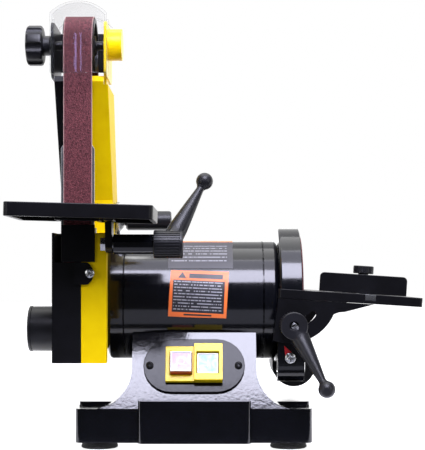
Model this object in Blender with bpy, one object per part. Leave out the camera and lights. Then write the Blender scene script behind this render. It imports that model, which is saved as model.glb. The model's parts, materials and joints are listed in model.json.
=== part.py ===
"""Bench-top belt and disc sander: a 25 x 762 mm belt on the left, a 125 mm disc on the right.

Sizes are millimetres from a shop datum: X along the motor shaft, Y back from the shaft, Z up from
the floor. add() turns them into metres about the middle of the machine's footprint.
"""

import math

import bmesh
import bpy
from mathutils import Matrix, Vector

MM = 0.001
GAP = 0.3                       # running gap between faces that touch
FOOTPRINT_CENTRE = Vector((8.75, -49.0, 0.0))

# Motor
SHAFT_Z = 135.6
MOTOR_R = 57.3
SHELL_LEFT, SHELL_RIGHT = -83.7, 49.6
BELL_LEFT, BELL_RIGHT = -100.3, 62.3
SHAFT_R = 7.2
BEARING_R, BEARING_WIDTH = 16.0, 9.0

# Belt and its three wheels (Y, Z of their centres)
BELT_LENGTH = 762.0
BELT_WIDTH = 25.4
BELT_THICK = 1.0
BELT_X = -119.2
DRIVE_R, TOP_R, LOWER_R = 26.5, 24.5, 19.5
TOP_Y, TOP_Z = -90.0, 367.4
LOWER_Y = TOP_Y - TOP_R + LOWER_R
CROWN = 0.5                     # how much smaller a wheel is at its edges
WHEEL_WIDTH = 27.6

# Belt frame and its cover
FRAME_BOTTOM, BODY_TOP, ARM_TOP = 82.2, 197.0, 338.0
FRAME_FRONT = -122.0
PARTING_X = -115.7
FRAME_X, COVER_X = -93.4, -141.3
SHEET = 2.3
PAD_X = -100.6                  # motor pad face, set back from the frame's lip

# Disc side
GUARD_R, GUARD_LEFT, GUARD_RIGHT = 70.0, 62.6, 83.1
DISC_R, DISC_FACE = 62.5, 84.8
TABLE_PIVOT_X, TABLE_PIVOT_Z = 70.0, 142.0
DISC_TABLE_DROOP = 3.7          # degrees below level as set
DISC_TABLE_TOP, DISC_TABLE_THICK = 146.7, 8.3
DISC_TABLE_LEFT, DISC_TABLE_RIGHT, DISC_TABLE_HALF = 60.2, 191.9, 83.0
CLAMP_X, CLAMP_Z = 72.9, 114.4
MITER_X, MITER_PIVOT_Y = 144.1, -33.0

# Belt table
SPINDLE_Y, SPINDLE_Z = -130.0, 186.8
BELT_TABLE = {"left": -174.4, "right": -49.6, "front": -185.0, "back": -92.0, "top": 219.0, "under": 207.0}
BELT_TABLE_DROOP = 1.5

# Base
BASE_LEFT, BASE_RIGHT, BASE_FRONT, BASE_BACK = -125.9, 91.6, -80.0, 83.0
BASE_UNDER, LEDGE_TOP, DECK_TOP = 6.5, 37.7, 41.2
NECK_LEFT, NECK_RIGHT, NECK_TOP = -74.8, 40.7, 106.0
FILLET_R = 36.0
NECK_SLOPE = 0.4317             # set-back of the sloping front per unit of height
SWITCH_X, SWITCH_Z = -17.0, 75.0


# ---------------------------------------------------------------- shapes

def arc(centre, radius, start, end, steps):
    """Points on an arc, angles in degrees, both ends included."""
    turns = [math.radians(start + (end - start) * i / steps) for i in range(steps + 1)]
    return [(centre[0] + radius * math.cos(t), centre[1] + radius * math.sin(t)) for t in turns]


def rounded_box(left, low, right, high, radius, steps=4):
    """Outline of a rectangle with rounded corners."""
    corners = ((right, high, 0), (left, high, 90), (left, low, 180), (right, low, 270))
    outline = []
    for x, y, start in corners:
        inward_x = -radius if x == right else radius
        inward_y = -radius if y == high else radius
        outline += arc((x + inward_x, y + inward_y), radius, start, start + 90, steps)
    return outline


def on_plane(plane, u, v, depth):
    """Point of a 2D outline laid on a plane and moved along its normal."""
    return {"YZ": Vector((depth, u, v)), "XZ": Vector((u, depth, v)), "XY": Vector((u, v, depth))}[plane]


def closed(bm):
    bmesh.ops.remove_doubles(bm, verts=bm.verts, dist=1e-4)
    bmesh.ops.recalc_face_normals(bm, faces=bm.faces)
    return bm


def prism(outline, plane, low, high):
    """Solid of one outline extruded between two depths."""
    bm = bmesh.new()
    face = bm.faces.new([bm.verts.new(on_plane(plane, u, v, low)) for u, v in outline])
    swept = bmesh.ops.extrude_face_region(bm, geom=[face])["geom"]
    travel = on_plane(plane, 0.0, 0.0, high - low)
    bmesh.ops.translate(bm, vec=travel, verts=[g for g in swept if isinstance(g, bmesh.types.BMVert)])
    return closed(bm)


def block(low, high):
    return prism([(low[0], low[1]), (high[0], low[1]), (high[0], high[1]), (low[0], high[1])], "XY", low[2], high[2])


def rod(axis, centre, radius, low, high, steps=32):
    """Cylinder along an axis; centre holds the two other coordinates in X, Y, Z order."""
    plane = {"X": "YZ", "Y": "XZ", "Z": "XY"}[axis]
    return prism(arc(centre, radius, 0, 360 - 360 / steps, steps - 1), plane, low, high)


def lathe(profile, centre, steps=48):
    """Turns (x, radius) points about a line along X through centre (y, z)."""
    bm = bmesh.new()
    points = [bm.verts.new((x, centre[0], centre[1] + radius)) for x, radius in profile]
    pairs = list(zip(points, points[1:]))
    if profile[0][1] > 0.0:
        pairs.append((points[-1], points[0]))
    edges = [bm.edges.new(pair) for pair in pairs]
    bmesh.ops.spin(bm, geom=points + edges, cent=(0, centre[0], centre[1]), axis=(1, 0, 0),
                   angle=math.tau, steps=steps, use_merge=True)
    return closed(bm)


def ring(left, right, outer, inner, centre=(0.0, SHAFT_Z), steps=48):
    return lathe([(left, inner), (left, outer), (right, outer), (right, inner)], centre, steps)


def combine(bm, operation, *tools):
    """Applies one exact Boolean per tool and returns the result."""
    for tool in tools:
        pair = []
        for label, shape in (("body", bm), ("tool", tool)):
            mesh = bpy.data.meshes.new(label)
            shape.to_mesh(mesh)
            shape.free()
            pair.append(bpy.data.objects.new(label, mesh))
            bpy.context.scene.collection.objects.link(pair[-1])
        boolean = pair[0].modifiers.new("boolean", "BOOLEAN")
        boolean.operation = operation
        boolean.object = pair[1]
        result = bpy.data.meshes.new_from_object(pair[0].evaluated_get(bpy.context.evaluated_depsgraph_get()))
        bm = bmesh.new()
        bm.from_mesh(result)
        bpy.data.meshes.remove(result)
        for temporary in pair:
            mesh = temporary.data
            bpy.data.objects.remove(temporary)
            bpy.data.meshes.remove(mesh)
    return bm


def cut(bm, *tools):
    return combine(bm, "DIFFERENCE", *tools)


def fuse(bm, *tools):
    return combine(bm, "UNION", *tools)


def inset(outline, distance):
    """Moves every edge of a counter-clockwise outline inward by one distance."""
    count = len(outline)
    lines = []
    for i in range(count):
        a, b = Vector(outline[i]), Vector(outline[(i + 1) % count])
        along = (b - a).normalized()
        lines.append((a + Vector((-along.y, along.x)) * distance, along))
    moved = []
    for i in range(count):
        (p, u), (q, w) = lines[i - 1], lines[i]
        turn = u.x * w.y - u.y * w.x
        if abs(turn) < 1e-6:
            moved.append(tuple(q))
            continue
        reach = ((q.x - p.x) * w.y - (q.y - p.y) * w.x) / turn
        moved.append(tuple(p + u * reach))
    return moved


def turned(bm, degrees, axis, centre):
    bmesh.ops.rotate(bm, cent=centre, matrix=Matrix.Rotation(math.radians(degrees), 3, axis), verts=bm.verts)
    return bm


# ---------------------------------------------------------------- objects

def finish(name, colour, roughness, metallic=0.0):
    """Principled material of one piece."""
    material = bpy.data.materials.new(name)
    material.use_nodes = True
    shader = material.node_tree.nodes["Principled BSDF"]
    shader.inputs["Base Color"].default_value = (*colour, 1.0)
    shader.inputs["Roughness"].default_value = roughness
    shader.inputs["Metallic"].default_value = metallic
    return material


BLACK_PAINT = ((0.010, 0.011, 0.014), 0.18)
SATIN_BLACK = ((0.012, 0.012, 0.013), 0.40)
BLACK_PLASTIC = ((0.018, 0.018, 0.021), 0.45)
YELLOW_PAINT = ((0.85, 0.60, 0.010), 0.30)
STEEL = ((0.56, 0.56, 0.57), 0.35, 1.0)
ZINC = ((0.70, 0.70, 0.72), 0.25, 1.0)
ALUMINIUM = ((0.62, 0.63, 0.64), 0.35, 1.0)
COPPER = ((0.60, 0.25, 0.10), 0.40, 1.0)
RUBBER = ((0.012, 0.012, 0.012), 0.80)
GRIT = ((0.11, 0.035, 0.040), 0.85)


def world(point):
    return (Vector(point) - FOOTPRINT_CENTRE) * MM


def add(name, bm, look, pivot=(0.0, 0.0, 0.0), parent=None):
    """Makes a named object of a shape, with its origin at pivot."""
    for vert in bm.verts:
        vert.co = (vert.co - Vector(pivot)) * MM
    mesh = bpy.data.meshes.new(name)
    bm.to_mesh(mesh)
    bm.free()
    mesh.shade_smooth()
    mesh.set_sharp_from_angle(angle=math.radians(35))
    mesh.materials.append(finish(name, *look))
    piece = bpy.data.objects.new(name, mesh)
    bpy.context.scene.collection.objects.link(piece)
    piece.location = world(pivot)
    if parent is not None:
        piece.parent = parent
        piece.location = world(pivot) - Vector(parent["pivot"])
    return piece


def tilting(name, pivot, degrees, axis):
    """Empty on a joint's axis; what hangs from it is modelled level and turns with it."""
    empty = bpy.data.objects.new(name, None)
    bpy.context.scene.collection.objects.link(empty)
    empty.location = world(pivot)
    empty["pivot"] = tuple(world(pivot))
    empty.rotation_euler = Matrix.Rotation(math.radians(degrees), 3, axis).to_euler()
    return empty


# ---------------------------------------------------------------- belt path

def tangent_normal(first, second):
    """Outward normal of the belt run that leaves one wheel (y, z, radius) for the next."""
    span = Vector((second[0] - first[0], second[1] - first[1]))
    along = span.normalized()
    lean = (first[2] - second[2]) / span.length
    outward = Vector((along.y, -along.x))
    return outward * math.sqrt(1.0 - lean * lean) + along * lean


def loop_outline(wheels, extra, steps=11):
    """Outline round the wheels, extra outside their rims, counter-clockwise."""
    outline = []
    for i, (y, z, radius) in enumerate(wheels):
        into = tangent_normal(wheels[i - 1], wheels[i])
        out = tangent_normal(wheels[i], wheels[(i + 1) % len(wheels)])
        start = math.degrees(math.atan2(into.y, into.x))
        sweep = (math.degrees(math.atan2(out.y, out.x)) - start) % 360.0
        outline += arc((y, z), radius + extra, start, start + sweep, steps)
    return outline


def loop_length(wheels, extra):
    """Exact length of the belt's middle line."""
    total = 0.0
    for i, (y, z, radius) in enumerate(wheels):
        y2, z2, radius2 = wheels[(i + 1) % len(wheels)]
        total += math.sqrt((y2 - y) ** 2 + (z2 - z) ** 2 - (radius2 - radius) ** 2)
        into = tangent_normal(wheels[i - 1], wheels[i])
        out = tangent_normal(wheels[i], wheels[(i + 1) % len(wheels)])
        sweep = (math.atan2(out.y, out.x) - math.atan2(into.y, into.x)) % math.tau
        total += sweep * (radius + extra)
    return total


def wheel_layout():
    """The three wheels, with the lower one at the height that uses up the belt's length."""
    low, high = 60.0, 160.0
    for _ in range(50):
        middle = 0.5 * (low + high)
        wheels = [(TOP_Y, TOP_Z, TOP_R), (LOWER_Y, middle, LOWER_R), (0.0, SHAFT_Z, DRIVE_R)]
        if loop_length(wheels, GAP + BELT_THICK / 2) > BELT_LENGTH:
            low = middle
        else:
            high = middle
    return wheels


WHEELS = wheel_layout()
LOWER_Z = WHEELS[1][1]


def belt_wheel(radius, bore, centre, width=WHEEL_WIDTH):
    """Crowned aluminium wheel with a web between hub and rim."""
    left, right = BELT_X - width / 2, BELT_X + width / 2
    rim = radius - 5.0
    hub = bore + 4.5
    profile = [(left, bore), (left, hub), (left + 6, hub), (left + 6, rim), (left, rim),
               (left, radius - CROWN), (BELT_X - 5, radius), (BELT_X + 5, radius), (right, radius - CROWN),
               (right, bore)]
    return lathe(profile, centre, 32)


# ---------------------------------------------------------------- base

def neck_front(z):
    return -79.6 + (z - 37.2) * NECK_SLOPE


def neck(left, right, top, fillet, low, wall):
    """Neck between two sloping planes, with concave flanks that run out onto the base."""
    foot = low + fillet
    outline = [(left, top)] + arc((left - fillet, foot), fillet, 0, -90, 8)
    outline += arc((right + fillet, foot), fillet, 270, 180, 8) + [(right, top)]
    bm = bmesh.new()
    front = [bm.verts.new((x, neck_front(z) + wall, z)) for x, z in outline]
    back = [bm.verts.new((x, -neck_front(z) - wall, z)) for x, z in outline]
    bm.faces.new(front)
    bm.faces.new(back)
    for i in range(len(outline)):
        j = (i + 1) % len(outline)
        bm.faces.new((front[i], front[j], back[j], back[i]))
    return closed(bm)


def base():
    lower = prism(rounded_box(BASE_LEFT, BASE_FRONT, BASE_RIGHT, BASE_BACK, 6), "XY", BASE_UNDER, LEDGE_TOP)
    deck = prism(rounded_box(BASE_LEFT + 0.4, -48, BASE_RIGHT - 0.4, BASE_BACK - 0.4, 4), "XY", 20, DECK_TOP)
    apron = prism(rounded_box(-68, -87, 35, -50, 5), "XY", BASE_UNDER, 45.2)
    body = fuse(lower, deck, apron, neck(NECK_LEFT, NECK_RIGHT, NECK_TOP, FILLET_R, 37.2, 0))
    cradle = rod("X", (0, SHAFT_Z), MOTOR_R + GAP, -99, 62, 48)
    hollow = prism(rounded_box(BASE_LEFT + 5, BASE_FRONT + 5, BASE_RIGHT - 5, BASE_BACK - 5, 3), "XY", 5, 33)
    throat = neck(NECK_LEFT + 6, NECK_RIGHT - 6, 72, 10, 30, 6)
    window = panel(block((-25.5, -14, -30), (25.5, 14, 10)))
    lead_in = rod("Y", (-17, 24), 6.5, BASE_BACK - 12, BASE_BACK + 4, 20)
    add("base_casting", cut(body, cradle, hollow, throat, window, lead_in), BLACK_PAINT)
    plate = prism(rounded_box(BASE_LEFT + 5.5, BASE_FRONT + 5.5, BASE_RIGHT - 5.5, BASE_BACK - 5.5, 2.5),
                  "XY", BASE_UNDER + 0.5, BASE_UNDER + 2.0)
    add("base_plate", plate, STEEL)
    for side, x in (("left", BASE_LEFT + 21), ("right", BASE_RIGHT - 21)):
        for end, y in (("front", BASE_FRONT + 21), ("rear", BASE_BACK - 21)):
            foot = rod("Z", (x, y), 17.0, 0.0, BASE_UNDER - GAP, 24)
            bmesh.ops.scale(foot, vec=(0.86, 0.86, 1.0), space=Matrix.Translation((-x, -y, 0)),
                            verts=[v for v in foot.verts if v.co.z > 3])
            add(f"rubber_foot_{end}_{side}", foot, RUBBER)
    bush = fuse(rod("Y", (-17, 24), 6.2, BASE_BACK - 4.7, BASE_BACK + 1, 20),
                rod("Y", (-17, 24), 9.0, BASE_BACK + GAP, BASE_BACK + 3.5, 20))
    add("cable_gland", bush, RUBBER)
    add("run_capacitor", rod("X", (6, 51), 15.0, -64, -28, 24), ALUMINIUM)


# ---------------------------------------------------------------- switch

def panel(bm):
    """Moves a shape drawn as (right, up the slope, out) onto the sloping front."""
    slant = math.sqrt(1 + NECK_SLOPE ** 2)
    up = Vector((0, NECK_SLOPE, 1)) / slant
    out = Vector((0, -1, NECK_SLOPE)) / slant
    columns = Matrix((Vector((1, 0, 0)), up, out)).transposed()
    place = Matrix.Translation((SWITCH_X, neck_front(SWITCH_Z), SWITCH_Z)) @ columns.to_4x4()
    bm.transform(place)
    return bm


def switch():
    rim = 26.0
    stadium = arc((21, 0), rim, -90, 90, 12) + arc((-21, 0), rim, 90, 270, 12)
    plate = cut(prism(stadium, "XY", GAP, 3.3), block((-25, -13, -1), (25, 13, 5)))
    add("switch_plate", panel(plate), BLACK_PAINT)
    low_half = block((-26.3, -17, 3.6), (0.2, 17, 8.5))
    hood_half = block((0, -17, 3.6), (26.3, 18.5, 13))
    back = block((-24.6, -12.5, -18), (24.6, 12.5, 4.5))
    body = fuse(low_half, hood_half, back)
    for x in (-12, 12.6):
        body = cut(body, block((x - 10.3, -10.6, -8), (x + 10.3, 10.6, 20)))
    add("switch_housing", panel(body), YELLOW_PAINT)
    add("stop_button", panel(block((-21.8, -9.9, -3), (-2.2, 9.9, 15))), ((0.75, 0.15, 0.15), 0.3))
    add("start_button", panel(block((2.8, -10.1, -3), (22.4, 10.1, 9.5))), ((0.35, 0.70, 0.55), 0.3))


# ---------------------------------------------------------------- motor

def motor():
    axis = (0.0, SHAFT_Z)
    add("motor_shell", ring(SHELL_LEFT + GAP, SHELL_RIGHT - GAP, MOTOR_R, MOTOR_R - 3, steps=48), BLACK_PAINT)
    for name, outer, seam, way in (("motor_bell_left", BELL_LEFT, SHELL_LEFT, 1),
                                   ("motor_bell_right", BELL_RIGHT, SHELL_RIGHT, -1)):
        pocket = outer + way * 6.3
        shoulder = [(outer + way * (4 - x), r) for r, x in arc((MOTOR_R - 4, 0), 4, 90, 0, 3)]
        mouth = pocket + way * (BEARING_WIDTH + GAP)
        profile = [(outer, 9)] + shoulder + [(seam, MOTOR_R), (seam, MOTOR_R - 4), (outer + way * 4.8, MOTOR_R - 4),
                                             (outer + way * 4.8, 20), (mouth, 20), (mouth, BEARING_R + GAP),
                                             (pocket, BEARING_R + GAP), (pocket, 9)]
        add(name, lathe(profile, axis, 36), BLACK_PAINT)
        near, far = sorted((pocket + way * GAP, mouth - way * 0.1))
        add(name.replace("motor_bell", "bearing"), ring(near, far, BEARING_R, SHAFT_R + GAP, steps=24), STEEL)
    add("stator_core", ring(-60, 26, MOTOR_R - 3.3, 33.8, steps=32), STEEL)
    coils = [(-76, 31.5), (-76, 49), (-60.3, 49), (-60.3, 33.5), (26.3, 33.5), (26.3, 49), (41, 49), (41, 31.5)]
    add("stator_windings", lathe(coils, axis, 24), COPPER)


def rotor():
    axis = (0.0, SHAFT_Z)
    profile = [(-136.5, 0), (-136.5, SHAFT_R), (81.6, SHAFT_R), (81.6, 0)]
    add("rotor_shaft", lathe(profile, axis, 32), STEEL, (0, 0, SHAFT_Z))
    add("rotor_core", ring(-60, 26, 30.4, SHAFT_R + GAP, steps=32), ALUMINIUM, (0, 0, SHAFT_Z))
    blades = 9
    outline = []
    for i in range(blades):
        start = 360 * i / blades
        outline += arc(axis, 13, start + 14, start + 34, 2) + arc(axis, 29, start + 36, start + 48, 1)
    fan = cut(prism(outline, "YZ", -76, -66), rod("X", axis, SHAFT_R + GAP, -80, -60, 24))
    add("cooling_fan", fan, BLACK_PLASTIC, (0, 0, SHAFT_Z))
    add("drive_wheel", belt_wheel(DRIVE_R, SHAFT_R + GAP, axis), ALUMINIUM, (0, 0, SHAFT_Z))
    face = DISC_FACE - 1.2
    plate = [(face, 0), (face, DISC_R), (face - 7, DISC_R), (face - 7, 15), (67.0, 15), (67.0, SHAFT_R + GAP),
             (81.9, SHAFT_R + GAP), (81.9, 0)]
    add("disc_plate", lathe(plate, axis, 48), ALUMINIUM, (0, 0, SHAFT_Z))
    paper = [(DISC_FACE, 0), (DISC_FACE, DISC_R), (face + 0.1, DISC_R), (face + 0.1, 0)]
    add("abrasive_disc", lathe(paper, axis, 48), GRIT, (0, 0, SHAFT_Z))


# ---------------------------------------------------------------- belt frame

def frame_outline():
    """Side view (y, z) of the belt housing, counter-clockwise: body, rear round, inclined arm."""
    drive = (0.0, SHAFT_Z, 41.0)
    top = (TOP_Y, TOP_Z, 34.5)
    normal = tangent_normal(drive, top)
    upper = math.degrees(math.atan2(normal.y, normal.x))
    start = (-76.0, FRAME_BOTTOM)
    reach = math.hypot(start[0], start[1] - SHAFT_Z)
    lower = math.degrees(math.atan2(start[1] - SHAFT_Z, start[0])) + math.degrees(math.acos(drive[2] / reach))
    back_of_arm = Vector((top[0], top[1])) + normal * top[2]
    slope = Vector((normal.y, -normal.x))
    back_top = back_of_arm + slope * ((ARM_TOP - back_of_arm.y) / slope.y)
    outline = [(FRAME_FRONT, FRAME_BOTTOM), start] + arc(drive[:2], drive[2], lower, upper, 14)
    outline += [tuple(back_top), (-103.0, ARM_TOP), (-105.0, 333.0), (-50.0, 230.0), (-50.0, BODY_TOP)]
    return outline + [(FRAME_FRONT, BODY_TOP)]


def belt_frame():
    outline = frame_outline()
    room = inset(outline, SHEET)
    shell = prism(outline, "YZ", PARTING_X + GAP / 2, FRAME_X)
    hollow = prism(room, "YZ", PARTING_X - 2, FRAME_X - SHEET)
    hollow = cut(hollow, block((PAD_X - SHEET, -108 - SHEET, 60), (-80, 60, BODY_TOP + SHEET)))
    shell = cut(shell, block((PAD_X, -108, 60), (-80, 60, BODY_TOP)), hollow,
                block((-118, FRAME_FRONT + 3, 190), (-102, -100, 202)),
                block((-118, -100.5, ARM_TOP - 8), (FRAME_X - SHEET, -30, ARM_TOP + 4)),
                block((-97.3, -107, 330.5), (FRAME_X + 1, -30, ARM_TOP + 4)),
                rod("X", (0, SHAFT_Z), 12, -110, -90, 32),
                rod("X", (LOWER_Y, LOWER_Z), 4.3, -110, -98, 20))
    add("belt_frame", shell, YELLOW_PAINT)


def side_cover():
    outline = frame_outline()
    shell = prism(outline, "YZ", COVER_X, PARTING_X - GAP / 2)
    shell = cut(shell, prism(inset(outline, SHEET), "YZ", COVER_X + SHEET, PARTING_X + 2),
                block((COVER_X + SHEET, -130, 171), (-110, -100, 202)),
                block((COVER_X + SHEET, -100.5, ARM_TOP - 8), (-110, -30, ARM_TOP + 4)),
                rod("X", (-75, 110.8), 18, -150, -136, 32))
    tab = [(PARTING_X - 6, 171)] + [(x, z) for x, z in arc((PARTING_X, 161.2), 11.3, 60, -60, 10)]
    tab += [(PARTING_X - 6, 151.4)]
    lug = prism(tab, "XZ", FRAME_FRONT - 2.5, FRAME_FRONT - GAP)
    root = block((PARTING_X - 6, FRAME_FRONT - 2.5, 151.4), (PARTING_X - 1, FRAME_FRONT + 1, 171))
    add("belt_side_cover", fuse(shell, fuse(lug, root)), SATIN_BLACK)
    front = FRAME_FRONT - 2.5 - GAP
    add("cover_screw", rod("Y", (-107.6, 161.4), 3.8, front - 2.2, front, 20), ZINC)
    port = ring(-167.3, COVER_X - GAP, 20.9, 18.6, (-75, 110.8), 32)
    add("belt_dust_port", port, BLACK_PLASTIC)


def belt_run():
    outer = prism(loop_outline(WHEELS, GAP + BELT_THICK), "YZ", BELT_X - BELT_WIDTH / 2, BELT_X + BELT_WIDTH / 2)
    inner = prism(loop_outline(WHEELS, GAP), "YZ", BELT_X - BELT_WIDTH, BELT_X + BELT_WIDTH)
    add("sanding_belt", cut(outer, inner), GRIT)
    face = TOP_Y - TOP_R
    plate = prism([(-134.2, 200), (-104.6, 200), (-104.6, 272), (-106.4, 275), (-132.4, 275), (-134.2, 272)],
                  "XZ", face, face + 2.5)
    foot = block((-125, face, 190), (-103.2, face + 2.5, 202))
    add("platen", fuse(plate, foot, block((-105.5, face, 190), (-103.2, -107, 202))), STEEL)
    add("lower_idler_axle", fuse(rod("X", (LOWER_Y, LOWER_Z), 4.0, -134, -97, 20),
                                 rod("X", (LOWER_Y, LOWER_Z), 7.0, PAD_X + GAP, -96.5, 6)),
        STEEL)
    bore = 4.0 + GAP
    add("lower_idler_wheel", belt_wheel(LOWER_R, bore, (LOWER_Y, LOWER_Z)), ALUMINIUM, (BELT_X, LOWER_Y, LOWER_Z))
    shield = prism([(-133, 171.4), (-103.3, 171.4), (-103.3, 204), (-133, 204)], "XZ", FRAME_FRONT - 1.8 - GAP,
                   FRAME_FRONT - GAP)
    add("belt_shield", shield, SATIN_BLACK)


# ---------------------------------------------------------------- top of the belt

def carriage():
    right = prism(rounded_box(-109, 337.8, -46.5, 386.8, 6), "YZ", -96.8, -94.5)
    along = Vector((SHAFT_Z - TOP_Z, -TOP_Y)).normalized()
    down = Vector((along.y, along.x))
    across = Vector((-down.y, down.x)) * 11.0
    start, end = Vector((TOP_Y, TOP_Z)) + down * 20, Vector((TOP_Y, TOP_Z)) + down * 128
    bar = prism([tuple(p) for p in (start - across, end - across, end + across, start + across)],
                "YZ", -98.3, -96.0)
    web = block((-144.0, -49.5, 350), (-96.0, -46.5, 386))
    boss = rod("X", (TOP_Y, TOP_Z + 0.6), 14.1, -97, -81.6, 40)
    body = fuse(right, bar, web, boss)
    body = cut(body, rod("X", (TOP_Y, TOP_Z), 4.6, -99, -88, 20))
    add("tension_carriage", body, YELLOW_PAINT)
    left = prism(rounded_box(-109, 335.5, -49.8, 386, 8), "YZ", -143.9, -141.6)
    add("carriage_cheek", cut(left, rod("X", (TOP_Y, TOP_Z), 4.6, -146, -140, 20)), SATIN_BLACK)
    add("top_idler_axle", rod("X", (TOP_Y, TOP_Z), 4.0, -146.9, -89, 20), STEEL, (BELT_X, TOP_Y, TOP_Z))
    add("top_idler_wheel", belt_wheel(TOP_R, 4.0 + GAP, (TOP_Y, TOP_Z)), ALUMINIUM, (BELT_X, TOP_Y, TOP_Z))
    lobes = 7
    outline = []
    for i in range(lobes):
        middle = 360 * i / lobes
        outline += arc((TOP_Y, TOP_Z), 18.2, middle - 16, middle + 16, 4)
        outline += arc((TOP_Y, TOP_Z), 16.6, middle + 22, middle + 360 / lobes - 22, 1)
    knob = fuse(prism(outline, "YZ", -167.6, -152.9), rod("X", (TOP_Y, TOP_Z), 8.9, -153.5, -146.4, 28))
    knob = cut(knob, rod("X", (TOP_Y, TOP_Z), 5.0, -150.5, -145, 20))
    add("tracking_knob", knob, BLACK_PLASTIC, (-158, TOP_Y, TOP_Z))


def hood():
    """Clear cover over the top wheel: an arched sheet, closed in front, open behind so the wheel can travel."""
    wall = 1.6

    def arch(left, right, apex, shoulder, low):
        half = (right - left) / 2
        rise = apex - shoulder
        radius = (half ** 2 + rise ** 2) / (2 * rise)
        spread = math.degrees(math.asin(half / radius))
        crown = arc(((left + right) / 2, apex - radius), radius, 90 - spread, 90 + spread, 14)
        return [(right, low)] + crown + [(left, low)]

    left, right = -142.2, -92.6
    outer = prism(arch(left, right, 399.6, 389.2, 336.7), "XZ", -130, -62)
    inner = prism(arch(left + wall, right - wall, 399.6 - wall, 389.2 - wall, 330), "XZ", -130 + wall, -55)
    behind = block((-150, -109.6, 330), (-85, -50, 387.2))
    add("belt_hood", cut(outer, inner, behind), ((0.9, 0.92, 0.93), 0.05))


def tension_lever():
    pivot = (-26.0, 221.0)
    grip = (32.0, 214.5)
    arm_angle = math.degrees(math.atan2(grip[1] - pivot[1], grip[0] - pivot[0]))
    outline = arc(pivot, 9, 90 + arm_angle, 180, 5) + arc((-22, 206), 7, 190, 330, 6)
    outline += arc(grip, 6.5, arm_angle - 100, 90 + arm_angle, 8)
    plate = cut(prism(outline, "YZ", -92.0, -88.6), rod("X", pivot, 4.3, -96, -84, 20))
    add("tension_lever", plate, ZINC, (-90, *pivot))
    grip_body = fuse(rod("X", grip, 9.6, -86.5, -41.3, 28), rod("X", grip, 5.0, -88.3, -86, 20))
    add("tension_grip", grip_body, BLACK_PLASTIC, (-90, *pivot))
    bolt = fuse(rod("X", pivot, 4.0, FRAME_X + GAP, -86, 20), rod("X", pivot, 6.5, -88.3, -84.5, 6))
    add("lever_pivot_bolt", bolt, ZINC)


# ---------------------------------------------------------------- clamp levers

def clamp_lever(hub_length=25.4, hub_radius=12.2, reach=61.0, lean=18.7):
    """Moulded lever drawn about X: hub from x = 0 inward (-X), arm up +Z and leaning out to a ball."""
    hub = rod("X", (0, 0), hub_radius, -hub_length, 0, 28)
    start, end = Vector((-10, 0, 5)), Vector((lean, 0, reach))
    along = end - start
    cone = bmesh.new()
    bmesh.ops.create_cone(cone, cap_ends=True, segments=12, radius1=8.8, radius2=3.0, depth=along.length)
    turn = along.to_track_quat("Z", "Y").to_matrix().to_4x4()
    cone.transform(Matrix.Translation((start + end) / 2) @ turn)
    ball = bmesh.new()
    bmesh.ops.create_uvsphere(ball, u_segments=14, v_segments=8, radius=7.5)
    ball.transform(Matrix.Translation(end))
    lever = fuse(hub, closed(cone), closed(ball))
    return cut(lever, rod("X", (0, 0), 4.4, -3.5, 2, 20))


def add_clamp_lever(name, foot, turn):
    lever = clamp_lever()
    lever.transform(Matrix.Translation(foot) @ turn.to_4x4())
    add(name, lever, BLACK_PLASTIC, foot)


# ---------------------------------------------------------------- belt table

def belt_table():
    t = BELT_TABLE
    swing = tilting("belt_table_swing", (-90.1, SPINDLE_Y, SPINDLE_Z), 0.0, "X")
    plate = prism(rounded_box(t["left"], t["front"], t["right"], t["back"], 5), "XY", t["under"], t["top"])
    hollow = prism(rounded_box(t["left"] + 4, t["front"] + 4, t["right"] - 4, t["back"] - 4, 3), "XY",
                   t["under"] - 5, t["top"] - 5)
    slot_wall = block((-139, -123.5, t["under"] - 8), (-99.4, t["back"] + 1, t["top"]))
    seat = block((-94.5, -144, t["under"] - 8), (-85.6, -116, t["top"]))
    hollow = cut(hollow, slot_wall, seat)
    slot = block((-135, -119.5, t["under"] - 9), (-103.4, t["back"] + 2, t["top"] + 2))
    plate = cut(plate, hollow, slot)
    turned(plate, BELT_TABLE_DROOP, "Y", (-90, 0, t["under"]))
    add("belt_table", plate, SATIN_BLACK, (-90.1, SPINDLE_Y, SPINDLE_Z), swing)
    top = t["under"] - 0.6
    ear = [(-142, top), (-139, 183.5)] + arc((SPINDLE_Y, SPINDLE_Z), 7.2, 215, 325, 6) + [(-121, 183.5), (-118, top)]
    hanger = cut(prism(ear, "YZ", -93.0, -87.1), rod("X", (SPINDLE_Y, SPINDLE_Z), 4.3, -95, -85, 20))
    add("belt_table_hanger", hanger, SATIN_BLACK, (-90.1, SPINDLE_Y, SPINDLE_Z), swing)
    sleeve = rod("X", (SPINDLE_Y, SPINDLE_Z), 8.7, -86.2, -51.5, 32)
    web = block((-86.2, -125, 181.5), (-66, -108, 192.1))
    heel = block((FRAME_X + GAP, -116.6, 179.5), (-66, -108, 194.1))
    bracket = cut(fuse(sleeve, web, heel), rod("X", (SPINDLE_Y, SPINDLE_Z), 4.3, -87, -50, 20))
    add("belt_table_bracket", bracket, BLACK_PAINT)
    spindle = fuse(rod("X", (SPINDLE_Y, SPINDLE_Z), 4.0, -95, -51.7, 20),
                   rod("X", (SPINDLE_Y, SPINDLE_Z), 6.5, -97.5, -93.3, 6))
    add("belt_table_spindle", spindle, ZINC)
    lean = math.degrees(math.atan2(22.0, 55.0))
    add_clamp_lever("belt_table_lever", (-25.8, SPINDLE_Y, SPINDLE_Z), Matrix.Rotation(math.radians(-lean), 3, "X"))


# ---------------------------------------------------------------- disc side

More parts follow.
